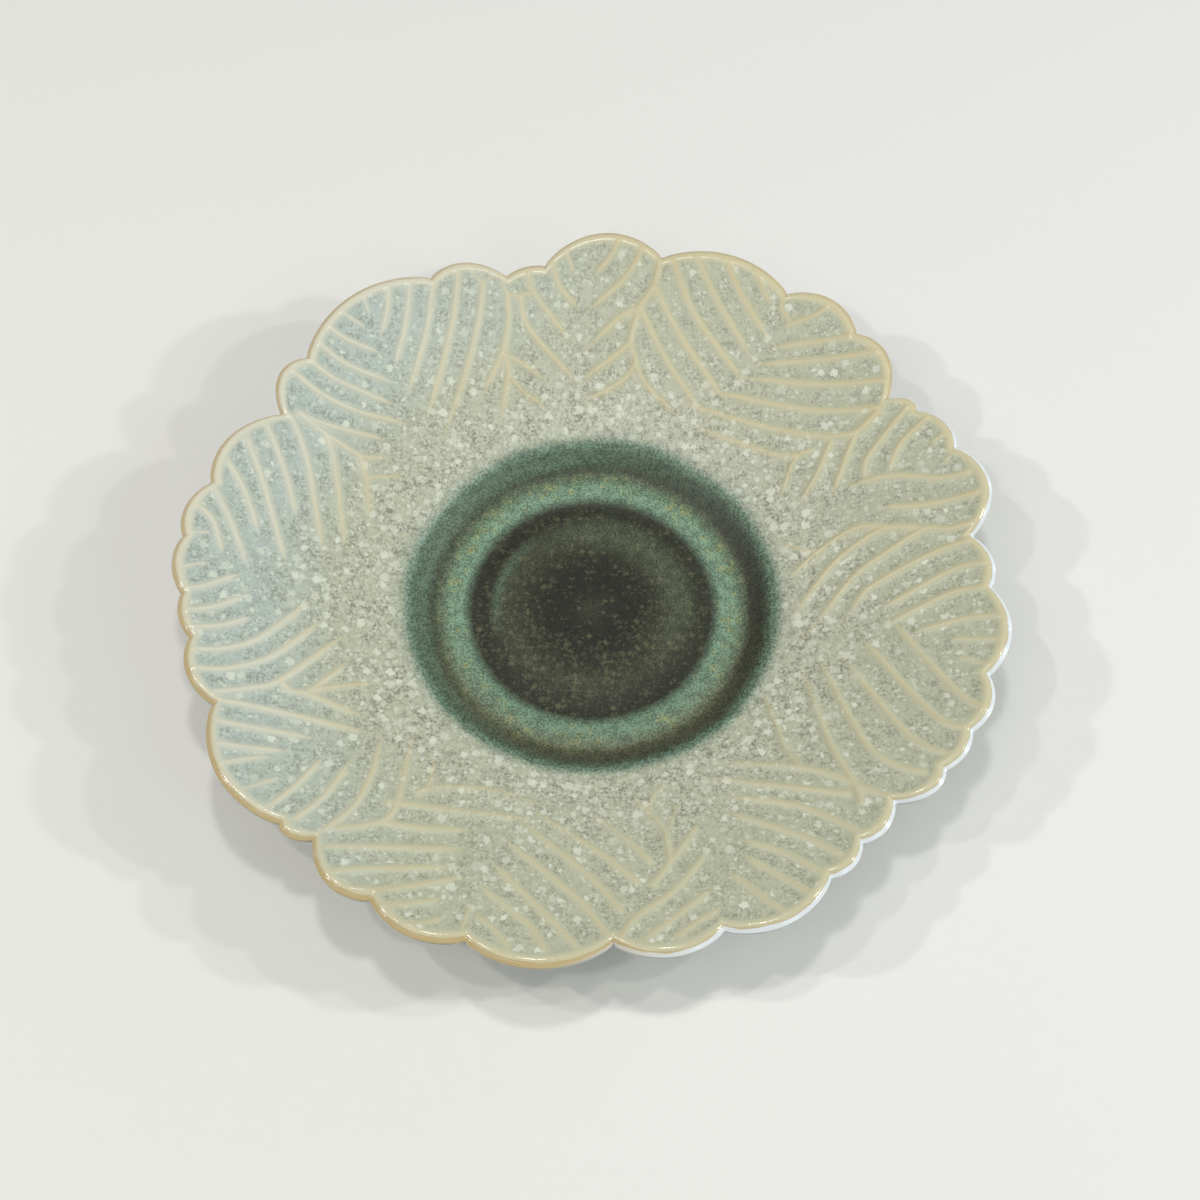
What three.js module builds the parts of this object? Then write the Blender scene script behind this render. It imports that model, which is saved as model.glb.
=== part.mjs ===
// Salad plate in glazed stoneware: nine carved leaf fans round a pooled well, on a turned foot ring.
// Millimetres, +Z up, standing on z = 0 with the wheel axis on Z.
import * as THREE from "three";

// Turned body
const footRadius = 43.5;
const footHeight = 3.5;
const footWidth = 7;
const footTreadWidth = 3.2;
const footArris = 0.6;
const floorThickness = 2.7;
const wellRadius = 36;
const shoulderWidth = 10;
const shoulderRise = 4.5;
const flareInset = 2;
const flareAngle = 15.5;
const haunchStep = 1.5;
const haunchWidth = 24;
const lipThickness = 3.4;

// Carving on the flare
const ribHeight = 0.9;
const ribFlank = 2.6;
const ribRise = 0.45;
const ribFadeStep = 2;
const ribFadeWidth = 10;
const lipWidth = 2.4;
const lobeRoundness = 0.75;

// Glaze coats
const coatThickness = 0.5;
const seatGap = 0.3;
const poolDepth = 0.9;
const poolShelf = 2;

// Rim lobes counter-clockwise: bearing and radius of a notch, crest radius of the lobe after it
const lobes = [
  [7, 91.3, 98.9],
  [21.5, 94.8, 96.2],
  [30, 92, 92.4],
  [34.5, 88.4, 95.6],
  [46, 94.3, 98],
  [58.5, 93.6, 97.6],
  [79, 92.6, 97.8],
  [97.5, 89.9, 90.4],
  [104, 88.8, 94.9],
  [115.5, 93.7, 98.8],
  [139, 93, 95],
  [149, 88.4, 95.9],
  [164.5, 94.8, 98.7],
  [174, 97.6, 99.2],
  [183, 96.6, 97.4],
  [190, 95.2, 97.4],
  [201, 93.5, 99.7],
  [222, 94.8, 95.4],
  [227, 91.7, 98],
  [239, 95.5, 99.4],
  [253, 95.6, 99],
  [273, 91.9, 97],
  [288.3, 93.5, 98],
  [305, 93.2, 94.3],
  [312, 91.2, 92.8],
  [320, 89.8, 95.5],
  [328, 95, 97.3],
  [335, 96.3, 98.7],
  [344, 95.7, 99.2],
  [358, 94.2, 95.3],
];

// Leaves counter-clockwise. The seam parts a leaf from the one before it and the spine runs up its
// middle, both from the well outwards. Each half has its rib count, and for its first and last rib
// the distance along the spine and along the leaf's margin and the bow as a share of the rib's length.
const leaves = [
  {
    seam: [[42, 13], [50, 13.6], [62, 15], [76, 14], [90.6, 11.1]],
    spine: [[41, 18], [48, 22], [64, 27], [75, 29.5], [88.5, 35]],
    halves: [
      { ribs: 2, spine: [18, 27], margin: [57, 63], bow: [-0.01, -0.04] },
      { ribs: 6, spine: [4, 38], margin: [23, 65], bow: [0.04, 0] },
    ],
  },
  {
    seam: [[33, 29], [42, 37.5], [53, 38.5], [61, 41], [67, 43.5], [72.9, 50]],
    spine: [[15, 42], [20, 48], [29, 53], [37, 58], [44, 66], [48.5, 79.5]],
    halves: [
      { ribs: 7, spine: [13, 42], margin: [30, 73], bow: [0.11, -0.07] },
      { ribs: 7, spine: [11, 44], margin: [29, 70], bow: [0.12, -0.05] },
    ],
  },
  {
    seam: [[9, 43], [10, 56], [10.2, 66], [11.5, 76], [15, 82.5], [17.7, 91]],
    spine: [[-3, 44], [-3, 57], [-1, 75], [1.5, 97]],
    halves: [
      { ribs: 5, spine: [6, 42], margin: [26, 60], bow: [0.09, -0.01] },
      { ribs: 6, spine: [6, 32], margin: [26, 62], bow: [0.17, -0.06] },
    ],
  },
  {
    seam: [[-17, 41], [-20.8, 58], [-21, 72], [-21.5, 86.2]],
    spine: [[-31, 33], [-41, 46], [-46, 54], [-50, 62], [-54, 69], [-58, 78]],
    halves: [
      { ribs: 8, spine: [4, 39], margin: [34, 80], bow: [0.03, -0.04] },
      { ribs: 8, spine: [4, 44], margin: [26, 76], bow: [0.09, -0.12] },
    ],
  },
  {
    seam: [[-38, 22], [-53, 32], [-62, 38.5], [-69, 43.5], [-75.8, 45.5]],
    spine: [[-44, -1], [-55, 0], [-76, 3], [-86, 4.5], [-97, 7]],
    halves: [
      { ribs: 9, spine: [14, 42], margin: [24, 80], bow: [0.08, 0.01] },
      { ribs: 8, spine: [5, 44], margin: [37, 87], bow: [0.05, 0.02] },
    ],
  },
  {
    seam: [[-42, -13], [-56, -22], [-66, -27.8], [-79, -29.5], [-87.3, -33.5]],
    spine: [[-37, -26], [-48, -33], [-65, -41], [-75, -44.5], [-86, -46]],
    halves: [
      { ribs: 3, spine: [16, 28], margin: [36, 54], bow: [0.01, -0.03] },
      { ribs: 7, spine: [5, 40], margin: [28, 78], bow: [0.11, 0.09] },
    ],
  },
  {
    seam: [[-28, -34], [-36, -47], [-44, -57.5], [-53, -62.5], [-62.5, -67]],
    spine: [[-6, -45], [-10, -57], [-17, -61], [-23, -69], [-27, -78], [-28, -89.5]],
    halves: [
      { ribs: 8, spine: [10, 46], margin: [20, 81], bow: [0.01, -0.14] },
      { ribs: 7, spine: [9, 47], margin: [32, 74], bow: [0.08, 0.04] },
    ],
  },
  {
    seam: [[10, -43], [14, -57], [17, -68], [12, -80], [4.8, -91.8]],
    spine: [[18, -41], [21, -47], [25, -56], [27.5, -65], [28.5, -75], [29.2, -88]],
    halves: [
      { ribs: 5, spine: [9, 39], margin: [29, 65], bow: [-0.03, -0.14] },
      { ribs: 7, spine: [4, 34], margin: [41, 86], bow: [0.05, 0.1] },
    ],
  },
  {
    seam: [[33, -30], [42, -41], [52, -48], [61, -53], [68.8, -57.7]],
    spine: [[43, -12], [52, -12.5], [62, -11.5], [72, -12], [82, -15], [95, -20]],
    halves: [
      { ribs: 7, spine: [5, 30], margin: [30, 89], bow: [0.13, -0.02] },
      { ribs: 7, spine: [8, 34], margin: [24, 72], bow: [0.14, 0.12] },
    ],
  },
];

// Facets
const lobeStep = 3.6;
const wellStep = 5;
const lineStep = 5;
const turnSteps = 72;
const ribStations = [0.22, 0.6];

// Where the turned parts meet
const wellFloor = footHeight + floorThickness;
const wellEdge = wellRadius + shoulderWidth - flareInset;
const haunchRadius = footRadius + footWidth / 2 + haunchStep;

const rad = THREE.MathUtils.degToRad;
const lerp = THREE.MathUtils.lerp;
const smooth = (x) => THREE.MathUtils.smoothstep(x, 0, 1);
const polar = (r, bearing) => new THREE.Vector2(r * Math.cos(rad(bearing)), r * Math.sin(rad(bearing)));
const bearingOf = (p) => (THREE.MathUtils.radToDeg(Math.atan2(p.y, p.x)) + 360) % 360;
const turnTo = (from, to) => (to - from + 360) % 360;

// Height of the plain clay face and of the underside over the table
function faceZ(r) {
  const shoulder = shoulderRise * smooth((r - wellRadius) / shoulderWidth);
  return wellFloor + shoulder + Math.tan(rad(flareAngle)) * Math.max(0, r - wellEdge);
}

function underZ(r) {
  const haunchWall = faceZ(haunchRadius) - footHeight;
  const wall = lerp(haunchWall, lipThickness - ribHeight, smooth((r - haunchRadius) / haunchWidth));
  return faceZ(r) - wall;
}

// Lobed rim: bearings and radii all round, and the radius at any bearing
function lobeAt(index, share) {
  const [from, notch, crest] = lobes[index];
  const [to, nextNotch] = lobes[(index + 1) % lobes.length];
  const bulge = (crest - (notch + nextNotch) / 2) * Math.sin(Math.PI * share) ** lobeRoundness;
  return { bearing: from + turnTo(from, to) * share, radius: lerp(notch, nextNotch, share) + bulge };
}

function rimRadius(bearing) {
  const index = lobes.findLastIndex(([from]) => from <= bearing);
  const lobe = index < 0 ? lobes.length - 1 : index;
  const span = turnTo(lobes[lobe][0], lobes[(lobe + 1) % lobes.length][0]);
  return lobeAt(lobe, turnTo(lobes[lobe][0], bearing) / span).radius;
}

const rim = lobes.flatMap(([from], i) => {
  const span = turnTo(from, lobes[(i + 1) % lobes.length][0]);
  const steps = Math.max(2, Math.round(span / lobeStep));
  return Array.from({ length: steps }, (_, j) => lobeAt(i, j / steps));
});

// Open or closed skin of shared points and triangles
class Skin {
  points = [];
  faces = [];

  add(x, y, z) {
    this.points.push([x, y, z]);
    return this.points.length - 1;
  }

  face(a, b, c, flip = false) {
    this.faces.push(flip ? [a, c, b] : [a, b, c]);
  }

  // Band between two lines of points that are matched by the places given along them
  zip(left, right, leftAt, rightAt, flip) {
    let i = 0;
    let j = 0;
    while (i + 1 < left.length || j + 1 < right.length) {
      const stepLeft = j + 1 === right.length || (i + 1 < left.length && leftAt[i + 1] < rightAt[j + 1]);
      const next = stepLeft ? left[i + 1] : right[j + 1];
      this.face(left[i], right[j], next, flip);
      i += stepLeft ? 1 : 0;
      j += stepLeft ? 0 : 1;
    }
  }

  // Band between two closed rings with the same number of points
  band(inner, outer) {
    inner.forEach((a, i) => {
      const k = (i + 1) % inner.length;
      this.face(a, outer[i], outer[k]);
      this.face(a, outer[k], inner[k]);
    });
  }

  geometry() {
    const geometry = new THREE.BufferGeometry();
    geometry.setAttribute("position", new THREE.Float32BufferAttribute(this.points.flat(), 3));
    geometry.setIndex(this.faces.flat());
    geometry.computeVertexNormals();
    return geometry;
  }

  // Closed coat over this skin, from one height off it to another, walled along its open edges
  coat(inner, outer) {
    const shell = new Skin();
    const count = this.points.length;
    this.points.forEach(([x, y, z]) => shell.add(x, y, z + outer));
    this.points.forEach(([x, y, z]) => shell.add(x, y, z + inner));
    const edges = new Set(this.faces.flatMap(([a, b, c]) => [`${a} ${b}`, `${b} ${c}`, `${c} ${a}`]));
    for (const [a, b, c] of this.faces) {
      shell.face(a, b, c);
      shell.face(a + count, c + count, b + count);
      for (const [from, to] of [[a, b], [b, c], [c, a]]) {
        if (!edges.has(`${to} ${from}`)) {
          shell.face(to, from, from + count);
          shell.face(to, from + count, to + count);
        }
      }
    }
    return shell.geometry();
  }
}

// Distances along a line of points, and the point at a distance
function distances(points) {
  let sum = 0;
  return points.map((p, i) => (sum += i ? p.distanceTo(points[i - 1]) : 0));
}

function pointAt(points, distance) {
  const at = distances(points);
  const i = Math.max(1, at.findIndex((d) => d >= distance));
  const share = (distance - at[i - 1]) / (at[i] - at[i - 1]);
  return points[i - 1].clone().lerp(points[i], share);
}

// Line drawn on the plan from the well's edge to the lip
function lineToLip(plan) {
  const guide = plan.map(([x, y]) => new THREE.Vector2(x, y));
  guide[0].setLength(wellEdge);
  const bearing = bearingOf(guide.at(-1));
  guide[guide.length - 1] = polar(rimRadius(bearing) - lipWidth, bearing);
  const curve = new THREE.SplineCurve(guide);
  return curve.getSpacedPoints(Math.round(curve.getLength() / lineStep));
}

// Height of the carved face where a rib or margin stands up by a share of its full height
function carvedZ(p, share) {
  const r = p.length();
  const fade = smooth((r - wellEdge - ribFadeStep) / ribFadeWidth);
  const lip = smooth((r - rimRadius(bearingOf(p)) + lipWidth + ribFlank) / ribFlank);
  return faceZ(r) + ribHeight * Math.max(share * fade, lip);
}

// Carved face between the well's edge and the lip
const face = new Skin();
const place = (p, share) => face.add(p.x, p.y, carvedZ(p, share));
const lipRing = rim.map(({ bearing, radius }) => place(polar(radius - lipWidth, bearing), 1));
const fans = leaves.map(({ seam, spine, halves }) => ({
  halves,
  seamLine: lineToLip(seam),
  spineLine: lineToLip(spine),
}));
const lipIndexAt = (bearing) => {
  const miss = rim.map((r) => Math.min(turnTo(r.bearing, bearing), turnTo(bearing, r.bearing)));
  return miss.indexOf(Math.min(...miss));
};
for (const fan of fans) {
  fan.notch = lipIndexAt(bearingOf(fan.seamLine.at(-1)));
  fan.tip = lipIndexAt(bearingOf(fan.spineLine.at(-1)));
  fan.seamIds = [...fan.seamLine.slice(0, -1).map((p) => place(p, 1)), lipRing[fan.notch]];
  fan.spineIds = [...fan.spineLine.slice(0, -1).map((p) => place(p, 0)), lipRing[fan.tip]];
}

// Points on the well's edge from one line's foot round to another's
function wellArc(fromLine, fromIds, toLine, toIds) {
  const from = bearingOf(fromLine[0]);
  const span = turnTo(from, bearingOf(toLine[0]));
  const steps = Math.max(1, Math.round(span / wellStep));
  const between = Array.from({ length: steps - 1 }, (_, i) => from + (span * (i + 1)) / steps);
  return [fromIds[0], ...between.map((b) => place(polar(wellEdge, b), 0)), toIds[0]];
}

// Rim points from a notch to a leaf's tip, counter-clockwise or clockwise
function lipWalk(from, to, way) {
  const walk = [];
  for (let i = from; i !== to; i = (i + way + rim.length) % rim.length) {
    walk.push(i);
  }
  return [...walk.slice(1), to];
}

// One half of a leaf: flutes and ribs from its spine to its margin
function carveHalf(fan, side, seamLine, seamIds, notch, arc) {
  const half = fan.halves[side];
  const flip = side === 1;
  const lip = lipWalk(notch, fan.tip, flip ? -1 : 1);
  const margin = [...seamLine, ...lip.map((i) => polar(rim[i].radius - lipWidth, rim[i].bearing))];
  const marginIds = [...seamIds, ...lip.map((i) => lipRing[i])];
  const spineAt = distances(fan.spineLine);
  const marginAt = distances(margin);
  const onSpine = (q) => Math.min(lerp(...half.spine, q / (half.ribs - 1)), spineAt.at(-1) - 1);
  const onMargin = (q) => Math.min(lerp(...half.margin, q / (half.ribs - 1)), marginAt.at(-1) - 1);
  const bowAt = (q) => lerp(...half.bow, THREE.MathUtils.clamp(q / (half.ribs - 1), 0, 1));

  // Plain lines before the first flute, then flutes and ribs by turns
  const lines = [];
  const plain = Math.floor(onMargin(-0.5) / (2 * lineStep));
  for (let i = 1; i <= plain; i++) {
    const share = i / (plain + 1);
    lines.push({ f: onSpine(-0.5) * share, g: onMargin(-0.5) * share, bow: bowAt(0) * share, rib: false });
  }
  for (let q = -0.5; q < half.ribs; q += 0.5) {
    lines.push({ f: onSpine(q), g: onMargin(q), bow: bowAt(q), rib: Number.isInteger(q) });
  }
  for (const line of lines) {
    const start = pointAt(fan.spineLine, line.f);
    const end = pointAt(margin, line.g);
    const chord = end.clone().sub(start);
    const across = new THREE.Vector2(chord.y, -chord.x).multiplyScalar(flip ? -1 : 1);
    const bend = start.clone().add(end).multiplyScalar(0.5).addScaledVector(across, 2 * line.bow);
    const rib = new THREE.QuadraticBezierCurve(start, bend, end);
    const foot = Math.max(0.7, 1 - ribFlank / chord.length());
    line.ids = [...ribStations, foot].map((s) => place(rib.getPoint(s), line.rib ? smooth(s / ribRise) : 0));
  }
  for (let i = 0; i + 1 < lines.length; i++) {
    const [a, b] = [lines[i].ids, lines[i + 1].ids];
    for (let j = 0; j + 1 < a.length; j++) {
      face.face(a[j], a[j + 1], b[j + 1], flip);
      face.face(a[j], b[j + 1], b[j], flip);
    }
  }
  const first = lines[0].ids;
  const last = lines.at(-1).ids;
  const column = (j) => lines.map((line) => line.ids.at(j));
  face.zip(fan.spineIds, column(0), spineAt, lines.map((line) => line.f), flip);
  face.zip(column(-1), marginIds, lines.map((line) => line.g), marginAt, flip);
  const evenly = (list) => list.map((_, i) => i / (list.length - 1));
  face.zip(first, arc, evenly(first), evenly(arc), flip);
  for (let j = 0; j + 1 < last.length; j++) {
    face.face(last[j], last[j + 1], lipRing[fan.tip], flip);
  }
}

const wellRing = [];
fans.forEach((fan, i) => {
  const next = fans[(i + 1) % fans.length];
  const before = wellArc(fan.seamLine, fan.seamIds, fan.spineLine, fan.spineIds);
  const after = wellArc(fan.spineLine, fan.spineIds, next.seamLine, next.seamIds);
  wellRing.push(...before.slice(0, -1), ...after.slice(0, -1));
  carveHalf(fan, 0, fan.seamLine, fan.seamIds, fan.notch, [...before].reverse());
  carveHalf(fan, 1, next.seamLine, next.seamIds, next.notch, after);
});

// Underside from the foot out to the lip
const under = new Skin();
const ringOn = (skin, radius, z) => rim.map(({ bearing, radius: R }) => {
  const r = radius(R);
  const p = polar(r, bearing);
  return skin.add(p.x, p.y, z(r, R));
});
const underRadii = [
  () => haunchRadius,
  () => haunchRadius + haunchWidth * 0.4,
  () => haunchRadius + haunchWidth,
  (R) => R - lipThickness * 0.4,
];

// Clay body: carved face, well, rounded lip and underside
const body = new Skin();
body.points = [...face.points];
body.faces = [...face.faces];
const lipTop = (R) => faceZ(R) + ribHeight;
const lipRings = [
  lipRing,
  ringOn(body, (R) => R - lipThickness * 0.3, (r) => lipTop(r) - lipThickness * 0.06),
  ringOn(body, (R) => R - lipThickness * 0.05, (r) => lipTop(r) - lipThickness * 0.33),
  ringOn(body, (R) => R - lipThickness * 0.05, (r) => lipTop(r) - lipThickness * 0.66),
  ...underRadii.toReversed().map((radius) => ringOn(body, radius, underZ)),
];
lipRings.slice(1).forEach((ring, i) => body.band(lipRings[i], ring));
const base = body.add(0, 0, footHeight);
const haunch = lipRings.at(-1);
haunch.forEach((a, i) => body.face(a, base, haunch[(i + 1) % haunch.length]));
let ring = wellRing;
for (const share of [0.66, 0.33, 0]) {
  const r = lerp(wellRadius, wellEdge, share);
  const inner = wellRing.map((id) => {
    const p = new THREE.Vector2(...face.points[id]).setLength(r);
    return body.add(p.x, p.y, faceZ(r));
  });
  body.band(inner, ring);
  ring = inner;
}
const floor = body.add(0, 0, wellFloor);
ring.forEach((a, i) => body.face(floor, a, ring[(i + 1) % ring.length]));

// Turned solid about Z from a closed profile of [radius, height] pairs
function turned(profile) {
  const points = profile.map(([r, z]) => new THREE.Vector2(r, z));
  return new THREE.LatheGeometry(points, turnSteps).rotateX(Math.PI / 2);
}

// Foot ring under the haunch, with a flat tread and eased arrises
const footHalf = footWidth / 2;
const treadHalf = footTreadWidth / 2;
const footProfile = [
  [footRadius - footHalf, footHeight],
  [footRadius - treadHalf - footArris, footArris],
  [footRadius - treadHalf, 0],
  [footRadius + treadHalf, 0],
  [footRadius + treadHalf + footArris, footArris],
  [footRadius + footHalf, footHeight],
  [footRadius - footHalf, footHeight],
];

// Glaze pool in the well: flat where it is deep, thinning up the shoulder
const poolRim = wellEdge - seatGap;
const poolTop = wellFloor + seatGap + poolDepth;
const poolProfile = [[0, wellFloor + seatGap]];
const poolShares = [0, 0.35, 0.7, 1];
for (const share of poolShares) {
  const r = lerp(wellRadius - poolShelf, poolRim, share);
  poolProfile.push([r, faceZ(r) + seatGap]);
}
for (const share of poolShares.toReversed()) {
  const r = lerp(wellRadius - poolShelf, poolRim, share);
  poolProfile.push([r, faceZ(r) + seatGap + lerp(poolDepth, coatThickness, share)]);
}
poolProfile.push([0, poolTop]);

// Glaze under the flare, from clear of the foot to the lip
const backRings = underRadii.map((radius, i) => {
  const clear = i ? 0 : coatThickness;
  return ringOn(under, (R) => radius(R) + clear, underZ);
});
backRings.slice(1).forEach((outer, i) => under.band(outer, backRings[i]));

const group = new THREE.Group();
function piece(name, geometry, color, roughness) {
  const mesh = new THREE.Mesh(geometry, new THREE.MeshStandardMaterial({ color, roughness, metalness: 0 }));
  mesh.name = name;
  group.add(mesh);
}
piece("plate_body", body.geometry(), 0xd8c59a, 0.6);
piece("foot_ring", turned(footProfile), 0xcdb892, 0.8);
piece("leaf_glaze", face.coat(seatGap, seatGap + coatThickness), 0xb9c0ae, 0.45);
piece("well_glaze", turned(poolProfile), 0x3c4638, 0.35);
piece("underside_glaze", under.coat(-seatGap, -seatGap - coatThickness), 0xdfe3e0, 0.45);

export default group;
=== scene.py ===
"""Salad plate in glazed stoneware with carved leaf fans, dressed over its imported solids."""
import math

import bmesh
import bpy
import numpy as np
from bpy.props import FloatProperty, FloatVectorProperty, IntProperty, PointerProperty
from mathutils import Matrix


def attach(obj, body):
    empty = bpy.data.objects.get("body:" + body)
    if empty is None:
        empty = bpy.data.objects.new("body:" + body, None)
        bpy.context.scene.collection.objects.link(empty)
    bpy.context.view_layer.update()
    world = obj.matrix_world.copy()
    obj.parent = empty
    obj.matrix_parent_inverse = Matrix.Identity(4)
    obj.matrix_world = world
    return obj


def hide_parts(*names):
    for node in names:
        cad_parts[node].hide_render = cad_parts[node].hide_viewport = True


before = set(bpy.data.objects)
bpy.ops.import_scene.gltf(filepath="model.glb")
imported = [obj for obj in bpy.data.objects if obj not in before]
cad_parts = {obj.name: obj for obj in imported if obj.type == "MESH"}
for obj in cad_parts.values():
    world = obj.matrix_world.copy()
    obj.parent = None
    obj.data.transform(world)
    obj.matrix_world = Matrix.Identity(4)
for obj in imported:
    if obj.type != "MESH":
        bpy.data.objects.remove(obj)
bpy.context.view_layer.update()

bl_info = {
    "name": "Carved salad plate",
    "version": (1, 0, 0),
    "blender": (4, 5, 0),
    "location": "View3D > Sidebar > Plate",
    "description": "Glazed stoneware plate with a lobed rim and carved leaf fans",
    "category": "Add Mesh",
}

# Lengths in the tables and profiles are in millimetres, and meshes are in metres.
MM = 0.001

# Rim lobes counter-clockwise: bearing and radius of a notch, crest radius of the lobe after it
LOBES = np.array([
    (7, 91.3, 98.9), (21.5, 94.8, 96.2), (30, 92, 92.4), (34.5, 88.4, 95.6), (46, 94.3, 98),
    (58.5, 93.6, 97.6), (79, 92.6, 97.8), (97.5, 89.9, 90.4), (104, 88.8, 94.9),
    (115.5, 93.7, 98.8), (139, 93, 95), (149, 88.4, 95.9), (164.5, 94.8, 98.7),
    (174, 97.6, 99.2), (183, 96.6, 97.4), (190, 95.2, 97.4), (201, 93.5, 99.7),
    (222, 94.8, 95.4), (227, 91.7, 98), (239, 95.5, 99.4), (253, 95.6, 99), (273, 91.9, 97),
    (288.3, 93.5, 98), (305, 93.2, 94.3), (312, 91.2, 92.8), (320, 89.8, 95.5), (328, 95, 97.3),
    (335, 96.3, 98.7), (344, 95.7, 99.2), (358, 94.2, 95.3),
])
LOBE_ROUNDNESS = 0.75

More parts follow.
